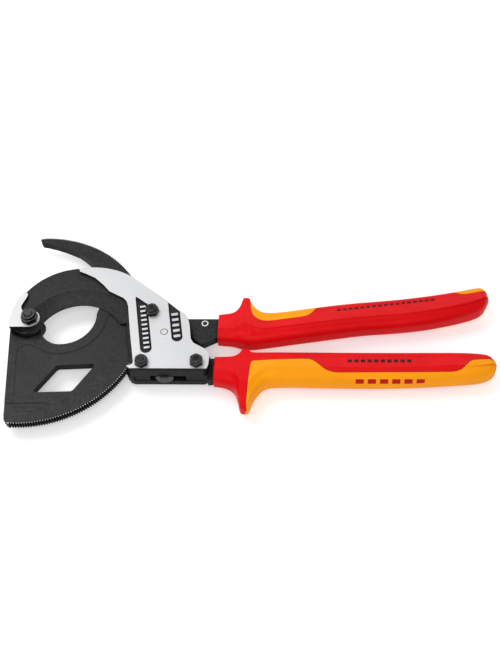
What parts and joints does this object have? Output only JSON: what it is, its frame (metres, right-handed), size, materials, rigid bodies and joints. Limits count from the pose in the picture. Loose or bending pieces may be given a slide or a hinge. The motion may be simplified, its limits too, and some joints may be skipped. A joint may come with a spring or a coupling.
{
  "type": "ratchet cable cutter",
  "caption": "Ratchet cable cutter with a forged fixed jaw, a toothed sector blade, frame pawls and two insulated handles with guards.",
  "frame": {"origin": "the handle pivot axis where it meets the back plate's outer face", "axes": "+X from the head to the handle ends, +Y from the fixed handle to the moving handle, +Z out of the front of the tool"},
  "size_m": [0.32, 0.1508, 0.0279],
  "materials": {
    "black_steel": "burnished black, satin",
    "black_fastener": "black phosphate",
    "zinc_fastener": "dark zinc",
    "bush_steel": "turned",
    "pawl_steel": "hardened, satin",
    "ground_steel": "ground flush with the bright lands",
    "spring_steel": "drawn wire",
    "nylon": "matt",
    "red_plastic": "hard, semi-gloss",
    "yellow_soft": "soft, satin"
  },
  "bodies": {
    "frame": {"fixed_jaw": "black_steel", "back_plate": "black_steel", "pivot_bolt": "zinc_fastener", "pivot_bush": "bush_steel", "pivot_washer": "zinc_fastener", "pivot_nut": "black_fastener", "handle_bolt": "zinc_fastener", "handle_bush": "bush_steel", "tang_bolts": "zinc_fastener", "frame_nuts": "black_fastener", "nut_inserts": "nylon", "stop_pin": "zinc_fastener", "fixed_handle_tang": "black_steel", "fixed_handle_sleeve": "red_plastic", "fixed_handle_grip": "yellow_soft", "retaining_pawl_pin": "ground_steel", "retaining_pawl_spring": "spring_steel"},
    "blade": {"moving_blade": "black_steel"},
    "moving_handle": {"moving_handle_arm": "black_steel", "moving_handle_sleeve": "red_plastic", "moving_handle_grip": "yellow_soft", "drive_pawl_spring": "spring_steel"},
    "drive_pawl": {"drive_pawl": "pawl_steel"},
    "release_lever": {"retaining_pawl": "pawl_steel", "thumb_pad": "black_steel"}
  },
  "joints": [
    {"name": "blade_pivot", "type": "hinge", "parent": "frame", "child": "blade", "pos_m": [-0.0815, -0.0057, 0.0074], "axis": [0, 0, 1], "range_deg": [-55, 76]},
    {"name": "handle_pivot", "type": "hinge", "parent": "frame", "child": "moving_handle", "pos_m": [0, 0, 0.0074], "axis": [0, 0, 1], "range_deg": [0, 20]},
    {"name": "drive_pawl_pivot", "type": "hinge", "parent": "moving_handle", "child": "drive_pawl", "pos_m": [-0.0022, -0.0157, 0.0088], "axis": [0, 0, 1], "range_deg": [0, 6.6], "deforming": ["drive_pawl_spring"]},
    {"name": "release_lever_pivot", "type": "hinge", "parent": "frame", "child": "release_lever", "pos_m": [0.0091, -0.0161, 0.0058], "axis": [0, 0, 1], "range_deg": [-5.5, 0], "deforming": ["retaining_pawl_spring"]}
  ],
  "couplings": [
    {"joint": "drive_pawl_pivot", "follows": "handle_pivot", "ratio": 0.32}
  ]
}
